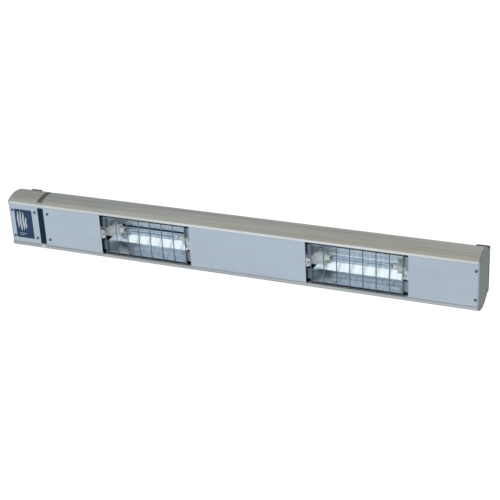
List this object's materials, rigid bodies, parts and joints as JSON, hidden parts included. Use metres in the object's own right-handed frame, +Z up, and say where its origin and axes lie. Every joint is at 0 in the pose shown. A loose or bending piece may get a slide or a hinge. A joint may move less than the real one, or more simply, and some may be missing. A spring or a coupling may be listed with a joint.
{
  "type": "heat lamp food warmer",
  "caption": "Half-round aluminium strip warmer that hangs under a shelf, with caged quartz lamps behind windows in its flat face and a terminal box at one end.",
  "frame": {"origin": "centre of the four shelf bolt holes, on top of the two mounting bars", "axes": "+X along the strip away from the terminal box, +Z up towards the shelf, lamps face -Z"},
  "size_m": [0.7382, 0.0868, 0.0604],
  "materials": {
    "housing_aluminium": "satin extruded aluminium with fine lengthwise die lines",
    "collar_brown": "dark bronze-grey heat-stained aluminium",
    "face_plate": "brushed lengthwise, cool grey",
    "end_cap_grey": "satin grey",
    "reflector_bright": "polished, with fine streaks across the strip",
    "reflector_end_satin": "satin, slightly blue-grey from heat",
    "black_metal": "semi-matt black",
    "strip_black": "matt blue-black",
    "label_navy": "printed film, navy with pale marks",
    "socket_ceramic": "unglazed steatite",
    "cap_ceramic": "unglazed, off-white",
    "quartz": "clear quartz",
    "tungsten": "dark drawn wire",
    "guard_wire": "plated spring wire",
    "zinc_steel": "zinc plated",
    "screw_dark": "dark plated",
    "contact_metal": "nickel plated",
    "lead_silicone": "red-brown silicone",
    "grommet_rubber": "matt black silicone",
    "bushing_black": "fine matt black"
  },
  "bodies": {
    "housing": {"box_anchor_bars": "zinc_steel", "box_bulkhead": "collar_brown", "cable_bushing": "bushing_black", "contact_spring_1": "zinc_steel", "contact_spring_2": "zinc_steel", "data_label": "label_navy", "earth_stud_set": "zinc_steel", "end_cap_left": "end_cap_grey", "end_cap_right": "end_cap_grey", "end_cap_screws": "screw_dark", "face_plate_left": "face_plate", "face_plate_middle": "face_plate", "face_plate_right": "face_plate", "face_plate_screws": "screw_dark", "fixed_contact_1": "contact_metal", "fixed_contact_2": "contact_metal", "holder_brackets_1": "zinc_steel", "holder_brackets_2": "zinc_steel", "holder_screws": "zinc_steel", "joining_collar": "collar_brown", "joining_studs": "zinc_steel", "joint_strip": "strip_black", "lamp_holder_fixed_1": "socket_ceramic", "lamp_holder_fixed_2": "socket_ceramic", "lamp_holder_sprung_1": "socket_ceramic", "lamp_holder_sprung_2": "socket_ceramic", "lamp_leads_1": "lead_silicone", "lamp_leads_2": "lead_silicone", "lead_grommet": "grommet_rubber", "main_anchor_bars": "zinc_steel", "main_bulkhead": "collar_brown", "main_housing": "housing_aluminium", "mounting_bar_left": "black_metal", "mounting_bar_nuts": "zinc_steel", "mounting_bar_right": "black_metal", "mounting_bar_screws": "screw_dark", "reflector_1": "reflector_bright", "reflector_2": "reflector_bright", "reflector_ends_1": "reflector_end_satin", "reflector_ends_2": "reflector_end_satin", "reflector_screws": "zinc_steel", "reflector_standoffs": "zinc_steel", "spring_terminal_1": "contact_metal", "spring_terminal_2": "contact_metal", "terminal_block": "socket_ceramic", "terminal_block_screws": "zinc_steel", "terminal_box_cover": "face_plate", "terminal_box_housing": "housing_aluminium", "wire_guard_1": "guard_wire", "wire_guard_2": "guard_wire"},
    "sprung_contact_1": {"sprung_contact_1": "contact_metal"},
    "lamp_1": {"lamp_tube_1": "quartz", "lamp_caps_1": "cap_ceramic", "lamp_contacts_1": "contact_metal", "lamp_filament_1": "tungsten"},
    "sprung_contact_2": {"sprung_contact_2": "contact_metal"},
    "lamp_2": {"lamp_tube_2": "quartz", "lamp_caps_2": "cap_ceramic", "lamp_contacts_2": "contact_metal", "lamp_filament_2": "tungsten"}
  },
  "joints": [
    {"name": "sprung_contact_1_slide", "type": "slide", "parent": "housing", "child": "sprung_contact_1", "axis": [1, 0, 0], "range_m": [0, 0.003], "stiffness_N_per_m": 1000, "springref_m": -0.004, "deforming": ["contact_spring_1"]},
    {"name": "lamp_1_roll", "type": "hinge", "parent": "sprung_contact_1", "child": "lamp_1", "pos_m": [-0.1354, 0, -0.0344], "axis": [1, 0, 0], "continuous": true},
    {"name": "sprung_contact_2_slide", "type": "slide", "parent": "housing", "child": "sprung_contact_2", "axis": [1, 0, 0], "range_m": [0, 0.003], "stiffness_N_per_m": 1000, "springref_m": -0.004, "deforming": ["contact_spring_2"]},
    {"name": "lamp_2_roll", "type": "hinge", "parent": "sprung_contact_2", "child": "lamp_2", "pos_m": [0.1938, 0, -0.0344], "axis": [1, 0, 0], "continuous": true}
  ]
}
